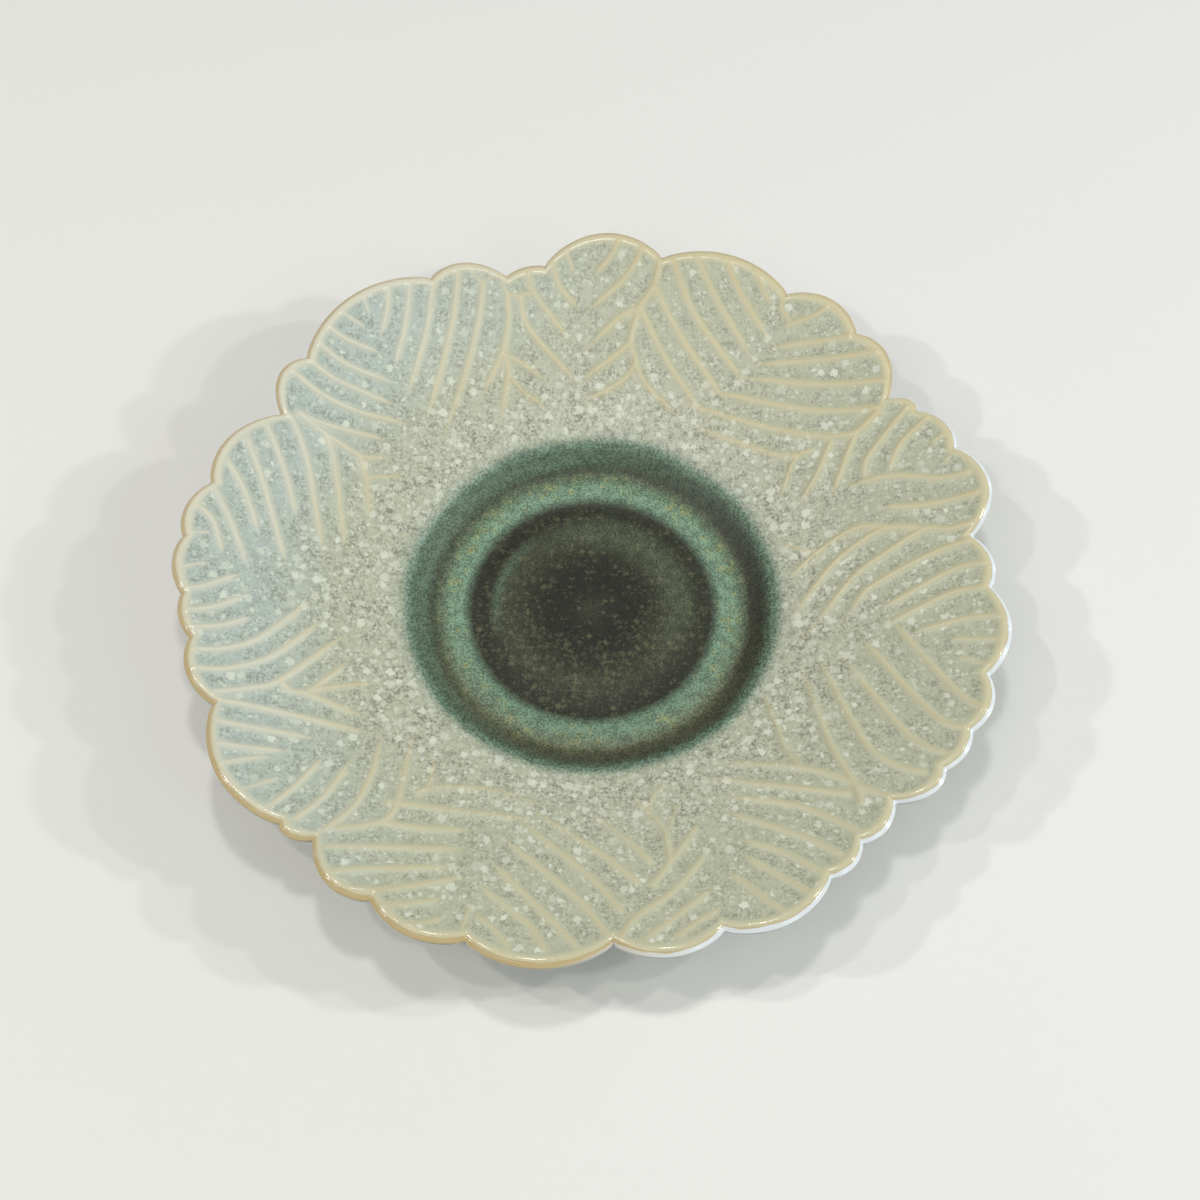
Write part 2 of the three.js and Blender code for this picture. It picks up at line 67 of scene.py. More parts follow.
# Ribs of the leaves counter-clockwise, each drawn on the plan from its leaf's margin inwards
RIBS = (
    # Leaf at 22 degrees
    ((76.5, 46.5), (71.5, 40.5), (66.5, 34), (66, 30)),
    ((81, 43), (75, 37.5), (72, 31.5)),
    ((87, 39), (83.5, 37.5), (82, 36)),
    ((88, 34), (86, 32.5), (85, 31)),
    ((70, 46), (66.5, 43.5), (63.5, 39.5), (59, 28)),
    ((58, 39.5), (55, 32.5), (51.5, 26.5)),
    ((50.5, 37), (48.5, 34.5), (46.5, 28.5)),
    ((90, 27.5), (84, 26.8), (73, 29), (65, 28.3)),
    ((92, 22), (87, 21), (80, 20.3), (71, 21)),
    ((52.4, 11.9), (49, 13.3), (46, 15)),
    # Leaf at 53 degrees
    ((40.5, 86.3), (42.2, 81.5), (44, 77.5)),
    ((33, 90), (37, 80), (42.4, 70)),
    ((26, 90.5), (31, 79), (38, 66)),
    ((20.3, 89.5), (25.5, 75.5), (35.8, 60)),
    ((16, 82), (22.4, 69.3), (31.3, 55.4)),
    ((12.3, 77), (18, 65), (26.3, 51.6)),
    ((10.8, 63.5), (13.5, 58), (19.7, 51.6)),
    ((49, 78.3), (46.9, 76), (49, 72)),
    ((58, 74.3), (54, 72.3), (48, 70.7)),
    ((66.5, 67.3), (60, 66.2), (47, 65.5)),
    ((72, 62), (58, 61.2), (44, 61.4)),
    ((72, 54.3), (57, 54.7), (41.3, 57.7)),
    ((70.5, 47.3), (55, 48.2), (32, 54.9)),
    ((69.5, 47), (66, 42.5), (59.7, 41), (46, 44.2), (26.3, 51.6)),
    ((53, 38), (46, 37.7), (28.6, 45.4)),
    # Leaf at 88 degrees
    ((7.2, 95), (4.5, 90.2), (1.3, 86.3)),
    ((12.7, 92.5), (8.5, 85.2), (1.3, 78.6)),
    ((17, 89.5), (15.5, 83), (12, 78), (7, 75), (1.3, 69.7)),
    ((12, 77.5), (10, 71.5), (8.5, 67.7), (-1, 60.5)),
    ((9.4, 68.5), (10.8, 63.5), (7, 58.7), (0.2, 55.2)),
    ((-7, 93.3), (-5.6, 89.7), (-4.8, 86.3)),
    ((-9.7, 88), (-8, 82.8), (-4.2, 78.3)),
    ((-16, 87.2), (-14.3, 81), (-7, 71.3)),
    ((-22, 82.6), (-20, 80.2), (-15, 81)),
    ((-17.8, 80), (-15.5, 72), (-5.3, 60.5)),
    ((-21, 65), (-17, 63), (-12.6, 60)),
    ((-20.6, 60.5), (-17, 56.2), (-12.6, 53.3)),
    # Leaf at 125 degrees
    ((-56.5, 78.5), (-55.7, 75.5), (-55.3, 73.5)),
    ((-50.4, 81.8), (-50.5, 75), (-51.7, 69)),
    ((-45, 82.5), (-46, 71.5), (-48, 62)),
    ((-39.3, 83), (-40.8, 70.3), (-44.4, 56)),
    ((-33.2, 85.3), (-34.7, 71.4), (-39.2, 52)),
    ((-27, 83.5), (-28, 74), (-31, 60.5), (-34.2, 49.8)),
    ((-30, 86), (-28.3, 84.2), (-27, 82)),
    ((-23.5, 85), (-25.7, 84), (-27, 82)),
    ((-21, 80), (-20.6, 74), (-22, 66.3), (-26, 56.8)),
    ((-21.5, 65.5), (-20.6, 60.8), (-22, 51.3)),
    ((-63, 73.6), (-59.5, 71.7), (-56, 69.5)),
    ((-65.8, 69.8), (-61, 66.4), (-53.3, 63.7)),
    ((-68, 65.5), (-61, 60), (-50, 56.4)),
    ((-69.5, 60.3), (-63, 55.6), (-50, 50.9)),
    ((-72.5, 56), (-65.5, 51), (-57, 47.7), (-48, 46.3)),
    ((-71, 45.7), (-65.6, 43.7), (-52.1, 41.3)),
    ((-70.5, 45), (-65, 41.3), (-56, 36.3), (-51, 36.7)),
    ((-54.8, 31), (-51, 31.5), (-47, 32)),
    # Leaf at 178 degrees
    ((-73, 44.6), (-69, 34.5), (-64.7, 13)),
    ((-64.5, 41), (-62.2, 33.5), (-59.5, 15.2)),
    ((-56.2, 36), (-54.7, 31), (-53.7, 22)),
    ((-78.5, 41.5), (-74, 30.5), (-71, 20)),
    ((-82.8, 37), (-78.5, 25.5), (-73.2, 7.8)),
    ((-87, 30.5), (-83, 23.5), (-79.7, 14.4)),
    ((-90, 23.5), (-86, 15.7), (-81.8, 5.2)),
    ((-93.5, 18), (-90, 15), (-87.4, 7.3)),
    ((-96.3, 10.3), (-93, 11), (-90.5, 11.5)),
    ((-96.5, 1), (-93.5, 2.4), (-90.5, 3.3)),
    ((-95.5, -4.5), (-90, -2.5), (-84.2, 0.7)),
    ((-95, -9.9), (-88.5, -8.2), (-82.6, -4.8)),
    ((-93.5, -14.1), (-87, -13), (-80.5, -10.1)),
    ((-92.5, -19.9), (-85.8, -19), (-78, -15.3), (-68.4, -5.6)),
    ((-92, -24.7), (-84.7, -24.2), (-74.7, -19.6), (-65.3, -10.1)),
    ((-86.3, -30.5), (-79, -28.6), (-72.5, -25.8), (-60.5, -13.8)),
    ((-65.3, -27.5), (-61.5, -23.5), (-57.9, -19.6)),
    ((-65.3, -27.5), (-60, -25.8), (-52.6, -24)),
    # Leaf at 208 degrees
    ((-71.5, -26.2), (-69.5, -28.2), (-65.3, -28.6), (-54.7, -32.5)),
    ((-86, -32.5), (-77, -33.4), (-66, -35), (-54.2, -37)),
    ((-86, -38), (-78, -38.9), (-65.8, -40.1)),
    ((-85, -44), (-79, -44.4), (-71, -44.5)),
    ((-84, -49.3), (-79, -47.7), (-74, -46.5)),
    ((-78, -55.3), (-74, -53.2), (-70.8, -51.9)),
    ((-72.5, -59.3), (-67, -53.4), (-62, -46.3)),
    ((-66.5, -62), (-60.5, -55.5), (-56, -47.2)),
    ((-60, -64.5), (-53.5, -57.2), (-50.2, -48.4), (-48.8, -40.7)),
    ((-57, -63.7), (-51, -62.5), (-46, -60), (-43.7, -53.5), (-42, -40.7)),
    ((-38.8, -52.5), (-37, -49.5), (-36.4, -44.8)),
    # Leaf at 254 degrees
    ((-39.5, -52.3), (-34, -50.7), (-23, -50.7), (-14.8, -53.6)),
    ((-46, -55.8), (-32, -56.8), (-16.6, -58.3)),
    ((-46.5, -61.5), (-39, -62.2), (-29.5, -62.2)),
    ((-59, -68.7), (-45, -67.9), (-31, -67.5)),
    ((-57.5, -75), (-48, -73.7), (-33, -72.5)),
    ((-55, -79.3), (-46, -79), (-31, -75.7)),
    ((-47, -83.2), (-41, -82.5), (-34.4, -81.3)),
    ((-42, -88), (-37, -87.3), (-33, -86)),
    ((-28.5, -89.5), (-27.8, -85.5), (-26.6, -82.7)),
    ((-18.5, -92.5), (-21.5, -88.5), (-25.4, -85)),
    ((-10.5, -93.5), (-14, -87), (-24, -78)),
    ((-3.5, -92.5), (-10, -84.5), (-21.3, -72)),
    ((3.5, -89.5), (-2.5, -80.9), (-9.5, -73.9), (-17.8, -66.2)),
    ((6.5, -83), (-1.3, -73.3), (-14.2, -61)),
    ((10, -75.5), (2.2, -68), (-10.7, -58.3)),
    ((13, -70), (8, -64.3), (1, -58)),
    # Leaf at 290 degrees
    ((17.5, -70), (17, -64.5), (16, -60.8), (11, -54)),
    ((13.2, -56.5), (13.8, -52.7), (16.5, -49.5)),
    ((17.9, -61), (18.5, -58), (19.6, -55)),
    ((13.8, -76.2), (18, -70), (23.8, -61)),
    ((6.5, -90), (10, -84.8), (18, -78.5), (25.5, -69)),
    ((12, -90.5), (18, -85.5), (26, -78.6)),
    ((19, -90), (23, -86.8), (28, -83.3)),
    ((42.5, -85), (37, -79.7), (31.4, -74.5)),
    ((48.5, -80.5), (41, -74.6), (35, -70)),
    ((51, -75), (44, -69.7), (35, -65.6)),
    ((55.5, -70.5), (47, -65), (32.6, -58.3)),
    ((59.5, -64.5), (47, -57), (33.8, -53.6)),
    ((58, -54.5), (48, -52.3), (30.2, -48.3)),
    ((68, -56.5), (61, -53), (54.9, -49.2), (46.7, -46.2), (33.8, -43.9)),
    # Leaf at 349 degrees
    ((48, -46), (44.7, -40.7), (40.7, -26)),
    ((61, -57), (59.6, -52), (54.7, -40), (50.3, -23.3)),
    ((75, -50.5), (69, -48), (62.7, -41.3), (55, -21.3)),
    ((80, -46), (72.7, -40.7), (60.7, -20.7)),
    ((86, -40), (79, -36.3), (65.3, -16)),
    ((89.5, -35.5), (83.3, -29.3), (72.3, -12)),
    ((92, -24.3), (88, -22.3), (85, -21.2)),
    ((94, -17.5), (89, -16.8), (84, -16.2)),
    ((95, -11.5), (88, -11), (77, -12.8)),
    ((93, -3.2), (84, -4), (71.3, -9.3)),
    ((93, 3.2), (85, 2.2), (70, -5)),
    ((90, 9.8), (80, 7), (66, 0.3), (61.7, -5)),
    ((90, 14), (84.7, 13.2), (79.5, 14), (71.5, 9.8), (62.7, 4), (54.3, -6)),
    ((79, 14.2), (72, 15.5), (66, 13.7), (56.7, 6.7), (46.5, -7)),
    ((70, 15.8), (64, 16.6), (56, 12.7), (46, 4.7)),
)
# A rib runs on past its drawn end by a share of its length, and runs out over another
RIB_RUN_ON = 0.2
RIB_RUN_OUT = 0.26
# Steps of a rib's line between two drawn points
RIB_STEPS = 24
# Length at which a rib stands full, and the share of the height that a tiny one has
FULL_RIB = 14
LEAST_RIB = 0.45
# Length at which a rib is full wide, and the share of the width that a tiny one has
WIDE_RIB = 34
LEAST_GIRTH = 0.6
# Share of a rib's height in its round crown, the rest being its scooped flanks
CROWN_SHARE = 0.55
# How far beside its line a rib is cut, and how much further off its run-out counts
CUT_REACH = 6
RUN_OUT_REACH = 2.2
# How far beside its line a rib's cream reaches, over how much of that it fades, and by which
# power it follows the rib's height
CREAM_REACH = 1.9
CREAM_FADE = 0.8
CREAM_POWER = 0.6
# A flute starts at a gap from the ribs and is deep after a width. Gaps to several ribs are joined
# by a power, down to a least gap.
FLUTE_START = 0.5
FLUTE_WIDTH = 1.2
GAP_POWER = 4
LEAST_GAP = 0.1
# Radii between which the carving fades in
RIB_FADE = (46, 52)
# Height of the lip as a share of a rib's
LIP_SHARE = 0.62

# Turned body, with the foot's tread as wide as it is before its edges are eased
FOOT_HEIGHT = 3.5
FOOT_RADIUS = 43.5
FOOT_WIDTH = 7
FOOT_TREAD = 4.4
FOOT_EASE = 0.7
WELL_FLOOR = 6.2
WELL_RADIUS = 36
WELL_EDGE = 44
SHOULDER_WIDTH = 10
SHOULDER_RISE = 4.5
FLARE_SLOPE = math.tan(math.radians(15.5))
HAUNCH_RADIUS = 48.5
HAUNCH_WIDTH = 24
FLARE_WALL = 2.5
TURNED_RADIUS = 96
# The lobes are drawn out of the turned rim from clear of the haunch, and in full near the rim.
LOBE_START = HAUNCH_RADIUS + 3
LOBE_REACH = 6
# Lips of the clay and of the back's coat: inset from the turned rim, rise over the face
CLAY_LIP = (
    (2.6, -2.2), (1.8, -1.95), (1.2, -1.6), (0.75, -1.2), (0.5, -0.85), (0.42, -0.6), (0.42, -0.45),
    (0.5, -0.3), (0.56, -0.25), (0.8, -0.04), (1.1, 0.25), (1.35, 0.5), (1.7, 0.55), (2.2, 0.5),
    (3.0, 0.3), (4.2, 0.15), (5.2, 0.05),
)
BACK_LIP = ((1.6, -2.5), (1.0, -2.1), (0.6, -1.6), (0.44, -1.2), (0.5, -0.9))

# How far coats and the foot are sunk into the clay, and how far the modelled clay lies over its face
SUNK = 0.1
CLAY_OVER = 0.05

# Coats: how far the leaf's and the well's reach past the well's edge, and how far they feather out
LEAF_LAP = 1.6
WELL_LAP = 0.8
FEATHER = 1.8
# Thickness of the leaf coat's edge, its inset from the turned rim, how far it rounds over there,
# and the insets of its last rings
COAT_EDGE = 0.1
LEAF_INSET = 1.35
LEAF_ROUND = 1.6
LEAF_LAST_RINGS = (1.9, 1.5, 1.1, 0.7, 0.3, 0)
# Pool in the well: its base over the clay's face, the height over the face from which its depth
# counts, that depth at the edge, in the middle and on the shelf, and the ring and the groove left
# by the wheel
POOL_BASE = 0.1
POOL_OVER = 0.3
POOL_EDGE = 0.15
POOL_DEPTH = 0.9
SHELF_DEPTH = 0.5
SHELF_RADIUS = WELL_RADIUS - 2
RING_RADIUS = 33.5
RING_WIDTH = 2.6
RING_RISE = 0.3
GROOVE_RADIUS = 27.5
GROOVE_WIDTH = 2.4
GROOVE_DEPTH = 0.25
# Start of the back's coat from the haunch, its thickness, its feather and its overlap with the clay
BACK_START = 0.5
BACK_COAT = 0.5
BACK_FEATHER = 2.5
BACK_OVERLAP = 0.3

# Facets along and round the turned pieces, and the distance within which their points are merged
UNDER_RINGS = 18
BACK_RINGS = 20
WELL_RINGS = 64
LIP_SPOKES = 960
WELL_SPOKES = 288
FOOT_SPOKES = 240
MERGE_WITHIN = 0.005


def srgb(red, green, blue):
    """Linear colour of a display colour from 0 to 255."""
    def linear(value):
        share = value / 255
        return share / 12.92 if share <= 0.04045 else ((share + 0.055) / 1.055) ** 2.4
    return tuple(linear(value) for value in (red, green, blue))


def length(name, description, millimetres):
    """Property for a length."""
    return FloatProperty(
        name=name, description=description, default=millimetres * MM, unit="LENGTH", precision=5
    )


def colour(name, description, *display):
    """Property for a colour, given as it shows on a display."""
    return FloatVectorProperty(
        name=name, description=description, default=srgb(*display), subtype="COLOR", min=0, max=1
    )


class PlateSizes(bpy.types.PropertyGroup):
    """Sizes of the carving and the coats."""

    rib_height: length("Rib height", "Height of a rib over the flute beside it", 0.7)
    rib_width: length("Rib width", "Half the width of the round top of a rib", 0.66)
    cream_width: length("Cream width", "Half the width of the cream line on a rib", 0.44)
    halo_width: length("Halo width", "How far the cream of a rib fades out", 0.85)
    flute_reach: length("Flute reach", "How far a flute takes to run up to a rib", 3.0)
    lip_width: length("Lip width", "Width of the plain band inside the rim", 2.4)
    lip_flank: length("Lip flank", "How far a flute takes to run up to the lip", 3.8)
    coat: length("Coat", "Height of the leaf glaze over the clay", 0.8)
    spokes: IntProperty(
        name="Spokes", description="Facets round the carved glaze", default=1200, min=360, max=1300
    )
    rings: IntProperty(
        name="Rings", description="Facets from the well to the lip", default=74, min=20, max=78
    )


class PlateGlazes(bpy.types.PropertyGroup):
    """Colours of the glazes and the clay."""

    sage: colour("Sage", "Leaf glaze beside the ribs on the warm side", 189, 189, 161)
    sage_pool: colour("Sage pool", "Leaf glaze deep in the flutes on the warm side", 181, 184, 158)
    frost: colour("Frost", "Leaf glaze beside the ribs on the cool side", 189, 195, 179)
    frost_pool: colour("Frost pool", "Leaf glaze deep in the flutes, cool side", 178, 190, 180)
    mist: colour("Mist", "Leaf glaze towards the well", 184, 186, 161)
    grain: colour("Grain", "Dark grains in the leaf glaze", 124, 126, 111)
    crystal: colour("Crystal", "Pale crystals in the leaf glaze", 215, 219, 201)
    cream: colour("Cream", "Glaze broken thin over the ribs on the warm side", 212, 202, 162)
    frost_cream: colour("Frost cream", "Glaze broken thin on the cool side", 221, 216, 192)
    edge: colour("Edge", "Glaze over the outside of the lip", 190, 171, 126)
    # Painted highlight: pale blue-white on the outside of the lip on the side facing the windows at the
    # right, standing for their light on it
    painted_highlight: colour("Lap", "Pale glaze where the back's coat laps over the lip", 226, 232, 232)
    tan: colour("Tan", "Clay showing through on the lip and the ribs", 196, 173, 122)
    jade: colour("Jade", "Green ring of the well", 112, 142, 116)
    veil: colour("Veil", "Grey-green bloom over the dark of the well", 106, 120, 92)
    olive: colour("Olive", "Crystals in the well", 118, 116, 86)
    moss: colour("Moss", "Yellow-green crystals in the jade ring", 152, 152, 98)
    back: colour("Back", "Glaze under the flare", 208, 214, 210)
    clay: colour("Clay", "Bare clay of the foot", 190, 168, 130)


class PlateStage(bpy.types.PropertyGroup):
    """Camera and floor."""

    distance: length("Distance", "From the camera to the plate", 650)
    elevation: FloatProperty(
        name="Elevation",
        description="Height of the camera's view",
        default=math.radians(62.5),
        subtype="ANGLE",
    )
    focal: FloatProperty(
        name="Focal length", description="Lens of the camera", default=81.0, unit="CAMERA"
    )
    floor: colour("Floor", "Floor that the plate stands on", 232, 231, 226)


# Shapes in plan and section

def smooth(share):
    """Smooth step from 0 to 1."""
    share = np.clip(share, 0, 1)
    return share * share * (3 - 2 * share)


def hill(value, middle, width):
    """Round hill of height 1 at a middle value."""
    return np.exp(-((value - middle) / width) ** 2)


def rim_radius(bearing):
    """Radius of the lobed rim at bearings in degrees."""
    starts = LOBES[:, 0]
    bearing = np.asarray(bearing, float) % 360
    lobe = (np.searchsorted(starts, bearing, side="right") - 1) % len(LOBES)
    after = (lobe + 1) % len(LOBES)
    share = ((bearing - starts[lobe]) % 360) / ((starts[after] - starts[lobe]) % 360)
    notch, notch_after, crest = LOBES[lobe, 1], LOBES[after, 1], LOBES[lobe, 2]
    bulge = (crest - (notch + notch_after) / 2) * np.sin(math.pi * share) ** LOBE_ROUNDNESS
    return notch + (notch_after - notch) * share + bulge


def face_height(radius):
    """Height of the plain clay face over the table."""
    shoulder = SHOULDER_RISE * smooth((radius - WELL_RADIUS) / SHOULDER_WIDTH)
    return WELL_FLOOR + shoulder + FLARE_SLOPE * np.maximum(0, radius - WELL_EDGE)


def under_height(radius):
    """Height of the clay's underside over the table."""
    haunch_wall = face_height(HAUNCH_RADIUS) - FOOT_HEIGHT
    thin = smooth((radius - HAUNCH_RADIUS) / HAUNCH_WIDTH)
    return face_height(radius) - haunch_wall - (FLARE_WALL - haunch_wall) * thin


def at_rim(lip):
    """Profile of a lip that is drawn as inset from the turned rim and rise over the face."""
    return [(TURNED_RADIUS - inset, face_height(TURNED_RADIUS - inset) + rise) for inset, rise in lip]


def bearing_of(x, y):
    """Bearing of points in degrees."""
    return np.degrees(np.arctan2(y, x))


def polar(radius, bearing):
    """Points at radii and bearings in degrees."""
    turn = np.radians(bearing)
    return np.stack([radius * np.cos(turn), radius * np.sin(turn)], axis=-1)


def drawn_line(guide):
    """Smooth line through the guide points."""
    points = np.array(guide, float)
    points = np.vstack([points[0], points, points[-1]])
    share = np.linspace(0, 1, RIB_STEPS, endpoint=False)[:, None]
    spans = []
    for before, start, end, after in zip(points, points[1:], points[2:], points[3:]):
        bend = (2 * before - 5 * start + 4 * end - after) * share**2
        swing = (3 * start - before - 3 * end + after) * share**3
        spans.append((2 * start + (end - before) * share + bend + swing) / 2)
    return np.vstack([*spans, points[-1]])


def distances(line):
    """Distance of each point of a line from its start."""
    return np.concatenate([[0], np.cumsum(np.hypot(*np.diff(line, axis=0).T))])


def grown(reach, full, least):
    """Share that a rib of some reach has, from a least share up to 1 at the full reach."""
    return min(1, least + (1 - least) * reach / full)


def rib_lines():
    """Lines of the ribs, each with the share of the full height at its points, and of the width."""
    for guide in RIBS:
        line = drawn_line(guide)
        ahead = line[-1] - line[-4]
        run_on = RIB_RUN_ON * distances(line)[-1] / np.hypot(*ahead)
        line = np.vstack([line, line[-1] + ahead * run_on / 2, line[-1] + ahead * run_on])
        along = distances(line)
        reach = along[-1]
        run_out = smooth((reach - along) / (RIB_RUN_OUT * reach))
        yield line, run_out * grown(reach, FULL_RIB, LEAST_RIB), grown(reach, WIDE_RIB, LEAST_GIRTH)


def nearest_on(line, heights, x, y):
    """Distance of points from a line, their side of it, and the share of the height there."""
    start, step = line[:-1], np.diff(line, axis=0)
    from_x, from_y = x[:, None] - start[:, 0], y[:, None] - start[:, 1]
    share = (from_x * step[:, 0] + from_y * step[:, 1]) / (step**2).sum(axis=1)
    share = np.clip(share, 0, 1)
    away = np.hypot(from_x - share * step[:, 0], from_y - share * step[:, 1])
    best = away.argmin(axis=1)
    rows = np.arange(len(x))
    height = heights[best] + share[rows, best] * (heights[best + 1] - heights[best])
    turn = step[best, 0] * from_y[rows, best] - step[best, 1] * from_x[rows, best]
    return away[rows, best], np.where(turn < 0, -1, 1), height


def carving(x, y, sizes):
    """Share of the full rib height at points, and by name what the leaf glaze reads there.

    Flute is the depth in the flutes. Across is the distance over the nearest rib's line, by its
    width and with a sign for the side, cream the share of cream on that line, and halo that round it.
    """
    lip_width, lip_flank = sizes.lip_width / MM, sizes.lip_flank / MM
    radius = np.hypot(x, y)
    inside = rim_radius(bearing_of(x, y)) - radius
    relief, across, cream = np.zeros((3, len(x)))
    closest = np.full(len(x), np.inf)
    crowding = np.maximum(inside - lip_width, LEAST_GAP) ** -GAP_POWER
    for line, heights, girth in rib_lines():
        low, high = line.min(axis=0) - CUT_REACH, line.max(axis=0) + CUT_REACH
        near = np.flatnonzero((x > low[0]) & (x < high[0]) & (y > low[1]) & (y < high[1]))
        away, side, height = nearest_on(line, heights, x[near], y[near])
        crown = hill(away, 0, girth * sizes.rib_width / MM)
        scoop = np.clip(1 - away / (sizes.flute_reach / MM), 0, 1) ** 2
        cut = height * (CROWN_SHARE * crown + (1 - CROWN_SHARE) * scoop)
        relief[near] = np.maximum(relief[near], cut)
        reached = away + RUN_OUT_REACH * (1 - height)
        crowding[near] += np.maximum(reached, LEAST_GAP) ** -GAP_POWER
        first = reached < closest[near]
        taken = near[first]
        closest[taken] = reached[first]
        across[taken] = (side * away / (girth * sizes.cream_width / MM))[first]
        cream[taken] = (height**CREAM_POWER * smooth((CREAM_REACH - away) / CREAM_FADE))[first]
    fade = smooth((radius - RIB_FADE[0]) / (RIB_FADE[1] - RIB_FADE[0]))
    gap = crowding ** (-1 / GAP_POWER)
    lip = smooth((lip_width + lip_flank - inside) / lip_flank)
    marks = {
        "flute": 1 - (1 - smooth((gap - FLUTE_START) / FLUTE_WIDTH)) * fade,
        "across": across,
        "cream": cream * fade,
        "halo": hill(gap, 0, sizes.halo_width / MM) * fade,
    }
    return np.maximum(relief * fade, LIP_SHARE * lip), marks


# Modelling

def turned(name, profile, spokes, closed=True):
    """Draws a profile of (radius, height) in millimetres and turns it round the wheel's axis."""
    bpy.ops.object.select_all(action="DESELECT")
    bpy.ops.mesh.primitive_plane_add(size=MM)
    piece = bpy.context.object
    piece.name = piece.data.name = name
    bpy.ops.object.mode_set(mode="EDIT")
    bpy.ops.mesh.merge(type="CENTER")
    points = [np.array((radius, 0, height)) * MM for radius, height in profile]
    bpy.ops.transform.translate(value=points[0])
    for start, end in zip(points, points[1:]):
        bpy.ops.mesh.extrude_region_move(TRANSFORM_OT_translate={"value": end - start})
    if closed:
        drawn = bmesh.from_edit_mesh(piece.data)
        drawn.verts.ensure_lookup_table()
        drawn.verts[0].select_set(True)
        drawn.verts[-1].select_set(True)
        bmesh.update_edit_mesh(piece.data)
        bpy.ops.mesh.edge_face_add()
    bpy.ops.object.mode_set(mode="OBJECT")
    bpy.ops.object.modifier_add(type="SCREW")
    wheel = piece.modifiers[-1]
    wheel.steps = wheel.render_steps = spokes
    bpy.ops.object.modifier_apply(modifier=wheel.name)
    bpy.ops.object.mode_set(mode="EDIT")
    bpy.ops.mesh.select_all(action="SELECT")
    bpy.ops.mesh.remove_doubles(threshold=MERGE_WITHIN * MM)
    bpy.ops.mesh.normals_make_consistent(inside=False)
    bpy.ops.object.mode_set(mode="OBJECT")
    bpy.ops.object.shade_smooth()
    return piece


def points_of(piece):
    """Vertices of a piece in millimetres, as columns x, y and z."""
    flat = np.empty(3 * len(piece.data.vertices))
    piece.data.vertices.foreach_get("co", flat)
    return flat.reshape(-1, 3).T / MM


def spread_to_rim(piece, start):
    """Draws a turned piece out to the lobed rim from a radius on, up or down the flare's slope."""
    x, y, z = points_of(piece)
    radius, bearing = np.hypot(x, y), bearing_of(x, y)
    share = np.clip((radius - start) / (TURNED_RADIUS - LOBE_REACH - start), 0, 1)
    spread = radius + share * (rim_radius(bearing) - TURNED_RADIUS)
    z = z + face_height(spread) - face_height(radius)
    x, y = polar(spread, bearing).T
    piece.data.vertices.foreach_set("co", (np.stack([x, y, z], axis=-1) * MM).ravel())
    piece.data.update()


def mark(piece, name, values):
    """Keeps a number for each vertex, for the materials."""
    attribute = piece.data.attributes.new(name, "FLOAT", "POINT")
    attribute.data.foreach_set("value", np.asarray(values, np.float32))


def mark_rim(piece):
    """Keeps the distance from the rim in millimetres."""
    x, y, _ = points_of(piece)
    mark(piece, "from_rim", rim_radius(bearing_of(x, y)) - np.hypot(x, y))


def displace(piece, weights, height):
    """Raises vertices by their share of a height."""
    least_weight = 0.001
    raised_by = "carving"
    group = piece.vertex_groups.new(name=raised_by)
    for index in np.flatnonzero(weights > least_weight).tolist():
        group.add((index,), float(weights[index]), "REPLACE")
    bpy.ops.object.modifier_add(type="DISPLACE")
    raised = piece.modifiers[-1]
    raised.direction = "Z"
    raised.mid_level = 0
    raised.strength = height
    raised.vertex_group = raised_by
    bpy.ops.object.modifier_apply(modifier=raised.name)
    piece.vertex_groups.remove(piece.vertex_groups[raised_by])


def settle(piece, node, material):
    """Puts a finished piece in the place of its CAD node."""
    piece.data.materials.clear()
    piece.data.materials.append(material)
    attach(piece, "root")
    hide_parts(node)


# Materials

class Socket:
    """Output of a node. Arithmetic on it adds Math nodes."""

    def __init__(self, finish, output):
        self.finish = finish
        self.output = output

    def __add__(self, other):
        return self.finish.math("ADD", self, other)

    def __sub__(self, other):
        return self.finish.math("SUBTRACT", self, other)

    def __rsub__(self, other):
        return self.finish.math("SUBTRACT", other, self)

    def __mul__(self, other):
        return self.finish.math("MULTIPLY", self, other)

    def __truediv__(self, other):
        return self.finish.math("DIVIDE", self, other)

    def __pow__(self, other):
        return self.finish.math("POWER", self, other)

    __radd__ = __add__
    __rmul__ = __mul__


